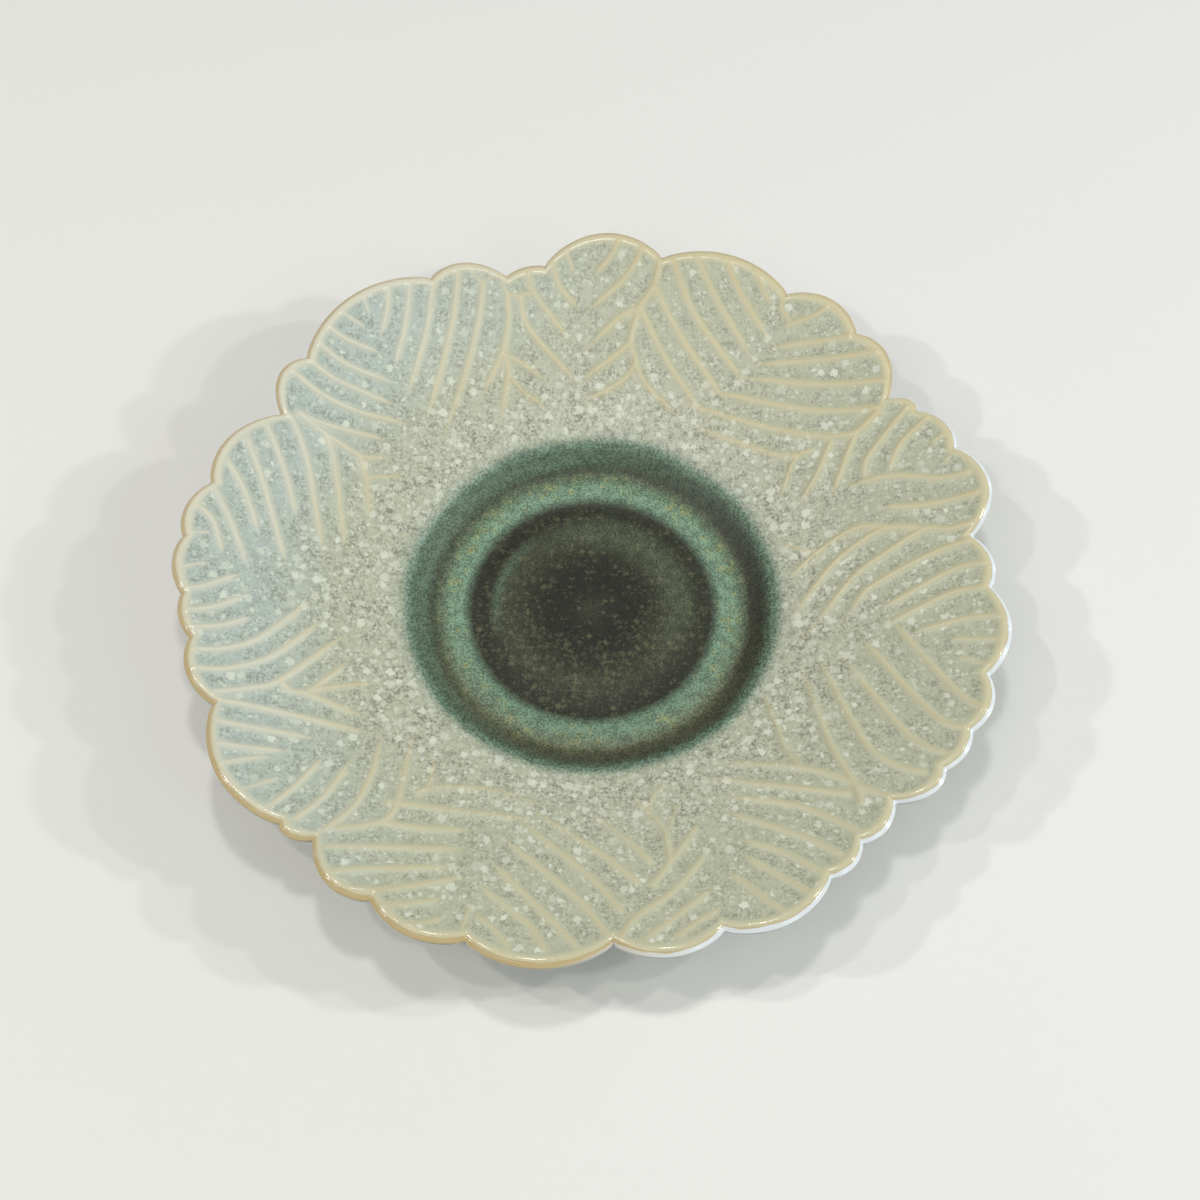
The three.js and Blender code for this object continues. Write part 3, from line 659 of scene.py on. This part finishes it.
class Finish:
    """Material put together from expressions."""

    def __init__(self, name, ior=1.5):
        self.material = bpy.data.materials.new(name)
        self.material.use_nodes = True
        self.tree = self.material.node_tree
        self.shader = self.tree.nodes["Principled BSDF"]
        self.shader.inputs["IOR"].default_value = ior

    def node(self, kind, settings=None, inputs=None, output=0):
        """Adds a node with its settings, then the values or links of its sockets."""
        node = self.tree.nodes.new(kind)
        for key, value in (settings or {}).items():
            if key == "stops":
                self.fill_ramp(node.color_ramp, value)
            else:
                setattr(node, key, value)
        for key, value in (inputs or {}).items():
            self.feed(node.inputs[key], value)
        return Socket(self, node.outputs[output])

    def feed(self, socket, value):
        """Links or sets one socket."""
        if isinstance(value, Socket):
            self.tree.links.new(value.output, socket)
        elif socket.type == "RGBA":
            socket.default_value = (*value, 1)
        else:
            socket.default_value = value

    def fill_ramp(self, ramp, stops):
        """Gives a colour ramp its stops."""
        while len(ramp.elements) < len(stops):
            ramp.elements.new(1)
        for element, (position, value) in zip(ramp.elements, stops):
            element.position = position
            element.color = (*value, 1)

    def math(self, operation, *values):
        """Math node."""
        return self.node("ShaderNodeMath", {"operation": operation}, dict(enumerate(values)))

    def step(self, value, start, end):
        """Smooth step of a value from 0 at start to 1 at end."""
        settings = {"interpolation_type": "SMOOTHSTEP"}
        inputs = {"Value": value, "From Min": start, "From Max": end}
        if start > end:
            inputs.update({"From Min": end, "From Max": start, "To Min": 1.0, "To Max": 0.0})
        return self.node("ShaderNodeMapRange", settings, inputs)

    def band(self, value, middle, half):
        """Soft band round a middle value."""
        return self.step(self.math("ABSOLUTE", value - middle), half, 0)

    def towards(self, turn, bearing, start, end):
        """Smooth step on the cosine of the angle between a turn and a bearing in degrees."""
        return self.step(self.math("COSINE", turn - math.radians(bearing)), start, end)

    def mix(self, share, first, second):
        """Mix of two colours."""
        settings = {"data_type": "RGBA"}
        return self.node("ShaderNodeMix", settings, {0: share, 6: first, 7: second}, 2)

    def attribute(self, name):
        """Number kept on the mesh."""
        return self.node("ShaderNodeAttribute", {"attribute_name": name}, output="Fac")

    def vector_math(self, operation, *values):
        """Vector Math node on two vectors."""
        settings = {"operation": operation}
        return self.node("ShaderNodeVectorMath", settings, dict(enumerate(values)))

    def scaled(self, vector, factor):
        """A vector or colour times a number."""
        return self.node("ShaderNodeVectorMath", {"operation": "SCALE"}, {0: vector, "Scale": factor})

    def place(self):
        """Object coordinates in millimetres."""
        return self.scaled(self.node("ShaderNodeTexCoord", output="Object"), 1 / MM)

    def split(self, vector):
        """The x, y and z of a vector."""
        parts = self.node("ShaderNodeSeparateXYZ", inputs={0: vector}).output.node
        return [Socket(self, output) for output in parts.outputs]

    def noise(self, place, pitch, detail=2.0, output="Fac"):
        """Noise whose marks are about a pitch across, in millimetres."""
        inputs = {"Vector": place, "Scale": 1 / pitch, "Detail": detail, "Roughness": 0.6}
        return self.node("ShaderNodeTexNoise", {"noise_dimensions": "2D"}, inputs, output)

    def around(self, place, pitch, reach):
        """Noise about zero, for shifts up to about a reach each way."""
        return (self.noise(place, pitch) - 0.5) * (2 * reach)

    def patches(self, place, pitch, start=0.3, end=0.6):
        """Soft patches about a pitch across, from 0 between them to 1 in them."""
        return self.step(self.noise(place, pitch), start, end)

    def crystals(self, place, pitch, largest, density, metric="EUCLIDEAN"):
        """Mask of grains that stand a pitch apart, up to a radius, on a share of their places."""
        soft_edge, soft_pick = 0.42, 0.03
        least_size, least_tone = 0.35, 0.4
        settings = {"voronoi_dimensions": "2D", "feature": "F1", "distance": metric}
        inputs = {"Vector": place, "Scale": 1 / pitch, "Randomness": 1.0}
        distance = self.node("ShaderNodeTexVoronoi", settings, inputs, "Distance")
        pick = Socket(self, distance.output.node.outputs["Color"])
        size_pick, place_pick, tone_pick = self.split(pick)
        size = (size_pick * (1 - least_size) + least_size) * (largest / pitch)
        grain = self.node("ShaderNodeClamp", inputs={0: (size - distance) * (pitch / soft_edge)})
        tone = tone_pick * (1 - least_tone) + least_tone
        return grain * tone * self.step(density - place_pick, -soft_pick, soft_pick)

    def warped(self, place, pitch, reach):
        """Place shifted by noise, so that round grains turn ragged."""
        noise = self.noise(place, pitch, output="Color")
        shift = self.vector_math("SUBTRACT", noise, (0.5, 0.5, 0.5))
        return self.vector_math("ADD", place, self.scaled(shift, 2 * reach))

    def colour(self, value):
        """Base colour of the surface."""
        self.feed(self.shader.inputs["Base Color"], value)

    def roughness(self, value):
        """Roughness of the surface."""
        self.feed(self.shader.inputs["Roughness"], value)

    def bump(self, height, distance):
        """Bends the normal by a height from 0 to 1, for a distance in millimetres."""
        inputs = {"Distance": distance * MM, "Height": height}
        self.feed(self.shader.inputs["Normal"], self.node("ShaderNodeBump", inputs=inputs))


# Colours of the well by radius, and the radius at which their ramp ends
RINGS_TO = 56
RING_COLOURS = (
    (0, srgb(54, 56, 41)),
    (4, srgb(39, 40, 28)),
    (8, srgb(31, 32, 22)),
    (12, srgb(35, 36, 25)),
    (17, srgb(49, 53, 37)),
    (20.5, srgb(62, 66, 47)),
    (23.5, srgb(50, 53, 38)),
    (26.4, srgb(36, 37, 26)),
    (28.6, srgb(42, 45, 32)),
    (29.8, srgb(80, 98, 80)),
    (31.4, srgb(115, 144, 119)),
    (34.0, srgb(116, 143, 116)),
    (36.6, srgb(91, 105, 81)),
    (38.4, srgb(57, 58, 42)),
    (40.6, srgb(50, 50, 36)),
    (42.2, srgb(66, 77, 62)),
    (44.0, srgb(104, 130, 110)),
    (46.0, srgb(148, 161, 140)),
    (48.5, srgb(174, 179, 157)),
)
# Tints on one side of the well's rings: glaze, bearing of the side in degrees, cosines from it at
# which the tint starts and is whole, radius, half width, share, share all round
RING_TINTS = (
    ("jade", 140, (-0.8, 0.9), 40.8, 3.6, 0.45, 0.06),
    ("olive", 270, (0.0, 0.8), 37.5, 6.5, 0.28, 0),
    ("veil", 45, (-0.1, 0.9), 21.5, 8.0, 0.24, 0),
    ("jade", 160, (0.75, 1.0), 23.0, 2.2, 0.3, 0),
)
# Shades likewise: bearing, cosines, radius, half width, share
RING_SHADES = (
    (270, (0.0, 0.8), 33.0, 5.0, 0.14),
    (20, (0.0, 0.9), 39.6, 3.4, 0.2),
)
# Radii between which the well's glaze runs out into the leaf glaze, and the leaf glaze turns misty
WELL_RUNS_OUT = (43.5, 48.5)
NEAR_WELL = (76, 50)

# Bearings in degrees of the sides on which the glazes change
COOL_SIDE = 165
THICK_SIDE = 290
# Side on which a highlight is painted on the outside of the lip, facing the windows at the right
HIGHLIGHT_SIDE = -27
WORN_SIDE = 243
OLIVE_SIDE = 280
# Distances towards its side, and radii, between which the cool tone comes in
COOL_TOWARDS = (10, 75)
COOL_RADII = (50, 82)
# Shares of the cream line's width at which a crest's line starts and is whole
CREST_LINE = (1.6, 0.2)
# Distances from the rim at which ribs turn tan, the lip's bead, worn clay and the outside start and
# are whole, and the middle and half width of the clay that shows along the lip
TAN_RIBS = (18, 3)
BEAD = (4.4, 1.8)
WORN_CLAY = (2.2, 0.9)
OUTSIDE = (0.85, 0.6)
CLAY_LINE = (1.1, 0.6)
# Roughness of the finishes
GLOSSY = 0.16
BACK_ROUGH = 0.4
SATIN = 0.42
WELL_ROUGH = 0.5
FLOOR_ROUGH = 0.6
MATT = 0.72
FOOT_ROUGH = 0.75


class Spot:
    """Place on the plate's face in millimetres, its radius and turn, and its share of the cool tone."""

    def __init__(self, finish):
        self.place = finish.place()
        across, away, _ = finish.split(self.place)
        self.radius = (across * across + away * away) ** 0.5
        self.turn = finish.math("ARCTAN2", away, across)
        side = math.radians(COOL_SIDE)
        towards = across * math.cos(side) + away * math.sin(side) + finish.around(self.place, 40, 15)
        self.cool = finish.step(towards, *COOL_TOWARDS) * finish.step(self.radius, *COOL_RADII)


def well_rings(finish, glazes, spot, ringed):
    """Rings of the well, with their tints on some sides."""
    stops = [(radius / RINGS_TO, value) for radius, value in RING_COLOURS]
    rings = finish.node("ShaderNodeValToRGB", {"stops": stops}, {0: ringed / RINGS_TO})
    for glaze, bearing, cosines, radius, half, share, all_round in RING_TINTS:
        tinted = finish.towards(spot.turn, bearing, *cosines) * share + all_round
        rings = finish.mix(tinted * finish.band(ringed, radius, half), rings, getattr(glazes, glaze))
    return rings


def well_crystals(finish, glazes, spot, ringed, rings):
    """Rings of the well with moss crystals in the jade ring and olive ones in the middle."""
    place, radius = spot.place, spot.radius
    ragged = finish.warped(place, 0.9, 0.4)
    clumps = finish.patches(place, 9, 0.36, 0.6)
    moss = finish.crystals(ragged, 2.1, 1.35, clumps * 0.8) * finish.band(ringed, 33.8, 5.0)
    rings = finish.mix(moss * 0.65, rings, glazes.moss)
    front = finish.towards(spot.turn, OLIVE_SIDE, -0.6, 0.6)
    drift = finish.patches(place, 13, 0.3, 0.66) * (front * 0.6 + 0.4)
    large_share = drift * finish.band(radius, 19, 15) * 1.3 + 0.12
    small_share = (drift * 0.7 + 0.3) * (finish.step(radius, 6, 15) * 0.65 + 0.35)
    large = finish.crystals(ragged, 1.9, 1.25, large_share, "MANHATTAN")
    small = finish.crystals(ragged, 1.0, 0.62, small_share, "CHEBYCHEV")
    olive = finish.math("MAXIMUM", large, small * 0.8) * finish.step(radius, 31, 28)
    return finish.mix(olive * 0.39, rings, glazes.olive)


def well_colour(finish, glazes, spot, blur):
    """Pooled glaze of the well: rings, crystals and a fine grain."""
    ringed = spot.radius + blur * (finish.step(spot.radius, 32, 42) * 0.8 + 0.2)
    rings = well_rings(finish, glazes, spot, ringed)
    rings = well_crystals(finish, glazes, spot, ringed, rings)
    fine = finish.noise(spot.place, 0.5, 3.0) * 0.7 + finish.noise(spot.place, 2.2) * 0.3
    tone = finish.step(fine, 0.37, 0.63) * 0.84 + 0.55
    for bearing, cosines, radius, half, share in RING_SHADES:
        shade = finish.towards(spot.turn, bearing, *cosines) * finish.band(ringed, radius, half)
        tone = tone * (1 - shade * share)
    return finish.scaled(rings, tone)


def leaf_colour(finish, glazes, spot, flute):
    """Leaf glaze with dark grains and pale crystals in the flutes, and the masks of these two."""
    place = spot.place
    near_well = finish.step(spot.radius, *NEAR_WELL)
    beside = finish.mix(spot.cool, glazes.sage, glazes.frost)
    deep = finish.mix(spot.cool, glazes.sage_pool, glazes.frost_pool)
    plain = finish.mix(near_well, finish.mix(flute, beside, deep), glazes.mist)
    cover = finish.math("MAXIMUM", flute, near_well * 0.75)
    patch = finish.patches(place, 6, 0.3, 0.65)
    rich = cover * (patch * 0.65 + 0.35) * (near_well * 0.3 + 0.7)
    fine = finish.noise(place, 0.7, 3.0) * 0.62 + finish.noise(place, 2.0) * 0.38
    grain = finish.step(fine, 0.43, 0.62) * rich
    glaze = finish.mix(grain * 0.95, plain, glazes.grain)
    ragged = finish.warped(place, 0.9, 0.8)
    share = cover * (near_well * 0.35 + 0.28)
    large = finish.crystals(ragged, 2.6, 1.36, share)
    small = finish.crystals(ragged, 1.3, 0.7, share + cover * 0.1)
    tiny = finish.crystals(ragged, 0.75, 0.42, rich * 0.6)
    pale = finish.math("MAXIMUM", large, finish.math("MAXIMUM", small * 0.9, tiny * 0.75))
    return finish.mix(pale * 0.95, glaze, glazes.crystal), pale, grain


def face_colour(finish, glazes, spot, flute):
    """Glaze of the whole face by place, shared by the two coats, and its crystals and grains."""
    blur = finish.around(spot.place, 22, 1.1) + finish.around(spot.place, 0.8, 1.7)
    leaf, pale, grain = leaf_colour(finish, glazes, spot, flute)
    well = well_colour(finish, glazes, spot, blur)
    return finish.mix(finish.step(spot.radius + blur, *WELL_RUNS_OUT), well, leaf), pale, grain


def rib_colour(finish, glazes, spot, face):
    """Face with cream where the glaze breaks thin over the ribs, and a tan line along each crest."""
    outer = finish.step(finish.attribute("from_rim"), *TAN_RIBS) * (1 - spot.cool)
    cream = finish.mix(spot.cool, glazes.cream, glazes.frost_cream)
    cream = finish.mix(outer * 0.4, cream, glazes.tan)
    crest = finish.mix(spot.cool * -0.34 + 0.4, cream, glazes.tan)
    thick = finish.towards(spot.turn, THICK_SIDE, 0.0, 0.9)
    across = finish.attribute("across") + finish.around(spot.place, 5, 0.7)
    patchy = finish.patches(spot.place, 8) * 0.5 + 0.5
    line = finish.step(finish.math("ABSOLUTE", across), *CREST_LINE)
    line = line * finish.attribute("cream") * patchy
    face = finish.mix(finish.attribute("halo") * (0.4 - thick * 0.28), face, cream)
    return finish.mix(line * (0.58 - thick * 0.2), face, crest)


def lip_colour(finish, glazes, spot, face):
    """Face with the lip's cream bead, clay at its edge and the edge glaze outside, where a highlight is
    painted on the side facing the windows at the right, and the bead.
    """
    from_rim = finish.attribute("from_rim") + finish.around(spot.place, 5, 0.3)
    worn_side = finish.towards(spot.turn, WORN_SIDE, 0.2, 0.8)
    # Painted highlight: on the side facing the windows at the right, the lip's outside turns pale
    # blue-white and reaches further in, and its cream bead is fainter
    painted_highlight = finish.towards(spot.turn, HIGHLIGHT_SIDE, 0.3, 0.7)
    cream = finish.mix(spot.cool * (1 - worn_side * 0.7), glazes.cream, glazes.frost_cream)
    creamy = finish.step(from_rim + worn_side * 0.9, *BEAD)
    face = finish.mix(creamy * (0.85 - painted_highlight * 0.3), face, cream)
    face = finish.mix(finish.band(from_rim, *CLAY_LINE) * 0.75, face, glazes.tan)
    worn = worn_side * finish.patches(spot.place, 6)
    face = finish.mix(worn * finish.step(from_rim, *WORN_CLAY) * 0.75, face, glazes.tan)
    # Outside of the lip: edge glaze, with the painted highlight on the side facing the windows
    outside = finish.mix(painted_highlight, glazes.edge, glazes.painted_highlight)
    face = finish.mix(finish.step(from_rim - painted_highlight * 0.6, *OUTSIDE), face, outside)
    return face, finish.step(from_rim, *BEAD)


def clay_colour(finish, glazes, place):
    """Bare clay with iron specks."""
    specks = finish.crystals(place, 2.4, 0.35, 0.5)
    tone = finish.patches(place, 12, 0.3, 0.7)
    clay = finish.mix(tone * 0.35, glazes.clay, glazes.tan)
    return finish.mix(specks * 0.6, clay, glazes.olive)


def leaf_finish(glazes):
    """Satin leaf glaze that breaks cream over the ribs, with a glossy bead at the lip."""
    finish = Finish("leaf glaze")
    spot = Spot(finish)
    face, pale, grain = face_colour(finish, glazes, spot, finish.attribute("flute"))
    face = rib_colour(finish, glazes, spot, face)
    face, bead = lip_colour(finish, glazes, spot, face)
    finish.colour(face)
    finish.roughness(bead * (GLOSSY - SATIN) + SATIN)
    finish.bump(pale * 0.6 - grain * 0.4 + finish.noise(spot.place, 2.2) * bead, 0.06)
    return finish.material


def well_finish(glazes):
    """Pooled glaze of the well, which has no flutes."""
    finish = Finish("well glaze", 1.4)
    face, pale, grain = face_colour(finish, glazes, Spot(finish), 1.0)
    finish.colour(face)
    finish.roughness(WELL_ROUGH)
    finish.bump(pale * 0.6 - grain * 0.4, 0.04)
    return finish.material


def lip_finish(glazes):
    """Clay of the body, matt inside the foot and with a glossy bead at the lip."""
    finish = Finish("lip clay", 1.6)
    spot = Spot(finish)
    face, bead = lip_colour(finish, glazes, spot, clay_colour(finish, glazes, spot.place))
    finish.colour(face)
    finish.roughness(bead * (GLOSSY - MATT) + MATT)
    finish.bump(finish.noise(spot.place, 2.2), 0.06)
    return finish.material


def back_finish(glazes):
    """Pale glaze under the flare, with a little grain."""
    finish = Finish("back glaze")
    place = finish.place()
    grain = finish.step(finish.noise(place, 0.8, 3.0), 0.52, 0.7)
    pale = finish.crystals(place, 3.2, 0.9, 0.25)
    glaze = finish.mix(grain * 0.35, glazes.back, glazes.grain)
    finish.colour(finish.mix(pale * 0.7, glaze, glazes.crystal))
    finish.roughness(BACK_ROUGH)
    finish.bump(finish.noise(place, 3), 0.05)
    return finish.material


def foot_finish(glazes):
    """Matt bare clay with fine iron specks and turning lines."""
    finish = Finish("foot clay")
    place = finish.place()
    across, away, _ = finish.split(place)
    radius = (across * across + away * away) ** 0.5
    finish.colour(clay_colour(finish, glazes, place))
    finish.roughness(FOOT_ROUGH)
    lines = finish.math("SINE", radius * 5.2 + finish.noise(place, 15) * 3)
    finish.bump(lines * 0.3 + finish.noise(place, 0.5), 0.05)
    return finish.material


# Pieces

class PLATE_OT_leaf_glaze(bpy.types.Operator):
    """Carved leaf fans under their pale coat"""

    bl_idname = "plate.leaf_glaze"
    bl_label = "Leaf glaze"

    def execute(self, context):
        sizes, glazes = context.scene.plate_sizes, context.scene.plate_glazes
        inner, outer = WELL_EDGE - LEAF_LAP, TURNED_RADIUS - LEAF_INSET
        last = outer - np.array(LEAF_LAST_RINGS)
        even = np.linspace(inner, last[0], sizes.rings - len(last) + 1)
        top = np.concatenate([even, last[1:]])
        round_over = 1 - np.clip(1 - (outer - top) / LEAF_ROUND, 0, 1) ** 2
        feather = smooth((top - inner) / FEATHER) * round_over
        over = list(zip(top, face_height(top) + COAT_EDGE + (sizes.coat / MM - COAT_EDGE) * feather))
        base = np.linspace(outer, inner, 4)
        below = list(zip(base, face_height(base) - SUNK))
        piece = turned("leaf_fans", over + below, sizes.spokes)
        spread_to_rim(piece, WELL_EDGE)
        x, y, z = points_of(piece)
        relief, marks = carving(x, y, sizes)
        upper = z > face_height(np.hypot(x, y))
        displace(piece, np.where(upper, relief, 0), sizes.rib_height)
        for name, values in marks.items():
            mark(piece, name, values)
        mark_rim(piece)
        settle(piece, "leaf_glaze", leaf_finish(glazes))
        return {"FINISHED"}


class PLATE_OT_well_glaze(bpy.types.Operator):
    """Dark glaze pooled in the well, with a soft ring left by the wheel"""

    bl_idname = "plate.well_glaze"
    bl_label = "Well glaze"

    def execute(self, context):
        outer = WELL_EDGE + WELL_LAP
        radius = np.concatenate([[0], np.linspace(2, outer, WELL_RINGS)])
        shelf = np.clip((radius - SHELF_RADIUS) / (WELL_EDGE - SHELF_RADIUS), 0, 1)
        depth = POOL_DEPTH - (POOL_DEPTH - SHELF_DEPTH) * shelf
        ring = RING_RISE * hill(radius, RING_RADIUS, RING_WIDTH)
        groove = GROOVE_DEPTH * hill(radius, GROOVE_RADIUS, GROOVE_WIDTH)
        feather = smooth((outer - radius) / FEATHER)
        pool = (depth + ring - groove) * feather + POOL_EDGE * (1 - feather)
        over = list(zip(radius, face_height(radius) + POOL_OVER + pool))
        base = np.array([outer, 40, WELL_RADIUS, 20, 0])
        below = list(zip(base, face_height(base) + POOL_BASE))
        piece = turned("well_pool", over + below, WELL_SPOKES, closed=False)
        settle(piece, "well_glaze", well_finish(context.scene.plate_glazes))
        return {"FINISHED"}


class PLATE_OT_clay_body(bpy.types.Operator):
    """Clay body with its rounded lip"""

    bl_idname = "plate.clay_body"
    bl_label = "Clay body"

    def execute(self, context):
        floor = [(radius, FOOT_HEIGHT) for radius in (0, 20, 39, HAUNCH_RADIUS - 1)]
        haunch = np.linspace(HAUNCH_RADIUS, TURNED_RADIUS - 3, UNDER_RINGS)
        under = list(zip(haunch, under_height(haunch)))
        face = np.array([80, 65, 50, WELL_EDGE, 40, WELL_RADIUS, 20, 0])
        top = list(zip(face, face_height(face) + CLAY_OVER))
        profile = floor + under + at_rim(CLAY_LIP) + top
        piece = turned("clay_body", profile, LIP_SPOKES, closed=False)
        spread_to_rim(piece, LOBE_START)
        mark_rim(piece)
        settle(piece, "plate_body", lip_finish(context.scene.plate_glazes))
        return {"FINISHED"}


class PLATE_OT_back_glaze(bpy.types.Operator):
    """Coat under the flare, from clear of the foot up the outside of the lip"""

    bl_idname = "plate.back_glaze"
    bl_label = "Back glaze"

    def execute(self, context):
        radius = np.linspace(HAUNCH_RADIUS + BACK_START, TURNED_RADIUS - 2.5, BACK_RINGS)
        feather = smooth((radius - radius[0]) / BACK_FEATHER)
        outside = list(zip(radius, under_height(radius) + SUNK - (SUNK + BACK_COAT) * feather))
        inner = np.array([TURNED_RADIUS - 2, 80, 60])
        inside = list(zip(inner, under_height(inner) + BACK_OVERLAP))
        piece = turned("back_coat", outside + at_rim(BACK_LIP) + inside, LIP_SPOKES)
        spread_to_rim(piece, LOBE_START)
        settle(piece, "underside_glaze", back_finish(context.scene.plate_glazes))
        return {"FINISHED"}


class PLATE_OT_foot_ring(bpy.types.Operator):
    """Bare turned ring that the plate stands on"""

    bl_idname = "plate.foot_ring"
    bl_label = "Foot ring"

    def execute(self, context):
        top, half_top = FOOT_HEIGHT + SUNK, FOOT_WIDTH / 2
        half_tread = FOOT_TREAD / 2
        profile = [
            (FOOT_RADIUS - half_top, top),
            (FOOT_RADIUS - half_tread, 0),
            (FOOT_RADIUS + half_tread, 0),
            (FOOT_RADIUS + half_top, top),
        ]
        piece = turned("foot_ring", profile, FOOT_SPOKES)
        bpy.ops.object.modifier_add(type="BEVEL")
        eased = piece.modifiers[-1]
        eased.width = FOOT_EASE * MM
        eased.segments = 4
        eased.limit_method = "ANGLE"
        eased.angle_limit = math.radians(40)
        bpy.ops.object.modifier_apply(modifier=eased.name)
        settle(piece, "foot_ring", foot_finish(context.scene.plate_glazes))
        return {"FINISHED"}


# Stage, in metres
FLOOR_SIZE = 6
AIM_HEIGHT = 7 * MM
# Shift of the lens that frames the plate as the photograph does
LENS_SHIFT = (0.007, 0.008)
LAMP_DISTANCE = 1.2
SKY_STRENGTH = 0.32
# Tints of the light
WARM = (1, 0.98, 0.95)
PALE = (1, 0.99, 0.97)
PLAIN = (1, 1, 1)
CREAMY = (1, 0.98, 0.94)
DAYLIGHT = (0.7, 0.88, 1)
# Lamps: name, elevation and bearing in degrees, size, share of the floor's light, tint
LAMPS = (
    ("right lamp", 42, -1, 0.04, 0.078, WARM),
    ("right low lamp", 32.5, -4, 0.04, 0.095, WARM),
    ("left lamp", 46.5, 183, 0.045, 0.115, PALE),
    ("left high lamp", 65, 185, 0.045, 0.09, PALE),
    ("top lamp", 84, 90, 0.1, 0.178, PLAIN),
    ("fill", 58, 235, 0.5, 0.08, CREAMY),
    ("back window", 18, 29, 0.26, 0.02, DAYLIGHT),
    ("middle window", 31, -2, 0.3, 0.035, DAYLIGHT),
    ("front window", 43, -41, 0.3, 0.04, DAYLIGHT),
)


class PLATE_OT_stage(bpy.types.Operator):
    """Pale floor, soft lamps and the camera"""

    bl_idname = "plate.stage"
    bl_label = "Stage"

    def execute(self, context):
        stage = context.scene.plate_stage
        self.lay_floor(stage)
        self.aim_camera(context, stage)
        for lamp in LAMPS:
            self.hang_lamp(*lamp)
        self.light_sky(context)
        context.scene.view_settings.view_transform = "Standard"
        return {"FINISHED"}

    def lay_floor(self, stage):
        """Lays the floor."""
        bpy.ops.object.select_all(action="DESELECT")
        bpy.ops.mesh.primitive_plane_add(size=FLOOR_SIZE)
        floor = bpy.context.object
        floor.name = "floor"
        finish = Finish("floor")
        finish.colour(tuple(stage.floor))
        finish.roughness(FLOOR_ROUGH)
        floor.data.materials.append(finish.material)

    def aim_camera(self, context, stage):
        """Sets the camera up at the photograph's angle."""
        back, up = math.cos(stage.elevation), math.sin(stage.elevation)
        bpy.ops.object.camera_add(
            location=(0, -stage.distance * back, AIM_HEIGHT + stage.distance * up),
            rotation=(math.pi / 2 - stage.elevation, 0, 0),
        )
        camera = bpy.context.object
        camera.data.lens = stage.focal
        camera.data.shift_x, camera.data.shift_y = LENS_SHIFT
        context.scene.camera = camera

    def hang_lamp(self, name, elevation, bearing, size, share, tint):
        """Hangs a lamp that faces the plate, with the power that its share of the light takes."""
        rise, turn = math.radians(elevation), math.radians(bearing)
        reach = LAMP_DISTANCE * math.cos(rise)
        place = (reach * math.cos(turn), reach * math.sin(turn), LAMP_DISTANCE * math.sin(rise))
        facing = (math.pi / 2 - rise, 0, turn + math.pi / 2)
        bpy.ops.object.light_add(type="AREA", location=place, rotation=facing)
        lamp = bpy.context.object
        lamp.name = name
        lamp.data.size = size
        lamp.data.energy = share * (math.pi * LAMP_DISTANCE) ** 2 / math.sin(rise)
        lamp.data.color = tint

    def light_sky(self, context):
        """Lights the room evenly from all round."""
        world = bpy.data.worlds.new("studio")
        world.use_nodes = True
        sky = world.node_tree.nodes["Background"]
        sky.inputs["Color"].default_value = (*PLAIN, 1)
        sky.inputs["Strength"].default_value = SKY_STRENGTH
        context.scene.world = world


PIECES = (
    PLATE_OT_clay_body,
    PLATE_OT_leaf_glaze,
    PLATE_OT_well_glaze,
    PLATE_OT_back_glaze,
    PLATE_OT_foot_ring,
    PLATE_OT_stage,
)
GROUPS = {"plate_sizes": PlateSizes, "plate_glazes": PlateGlazes, "plate_stage": PlateStage}


class PLATE_PT_build(bpy.types.Panel):
    """Lists the pieces of the plate and their settings"""

    bl_idname = "PLATE_PT_build"
    bl_label = "Carved salad plate"
    bl_space_type = "VIEW_3D"
    bl_region_type = "UI"
    bl_category = "Plate"

    def draw(self, context):
        for piece in PIECES:
            self.layout.operator(piece.bl_idname)
        for group_name in GROUPS:
            group = getattr(context.scene, group_name)
            box = self.layout.box()
            for name in group.__annotations__:
                box.prop(group, name)


def register():
    """Registers the classes and hangs the settings on the scene."""
    for cls in (*GROUPS.values(), *PIECES, PLATE_PT_build):
        bpy.utils.register_class(cls)
    for name, group in GROUPS.items():
        setattr(bpy.types.Scene, name, PointerProperty(type=group))


def unregister():
    """Takes the settings and the classes away again."""
    for name in GROUPS:
        delattr(bpy.types.Scene, name)
    for cls in (PLATE_PT_build, *reversed(PIECES), *reversed(GROUPS.values())):
        bpy.utils.unregister_class(cls)


def main():
    """Builds the plate and its stage."""
    register()
    bpy.ops.plate.clay_body()
    bpy.ops.plate.leaf_glaze()
    bpy.ops.plate.well_glaze()
    bpy.ops.plate.back_glaze()
    bpy.ops.plate.foot_ring()
    bpy.ops.plate.stage()


if __name__ == "__main__":
    main()
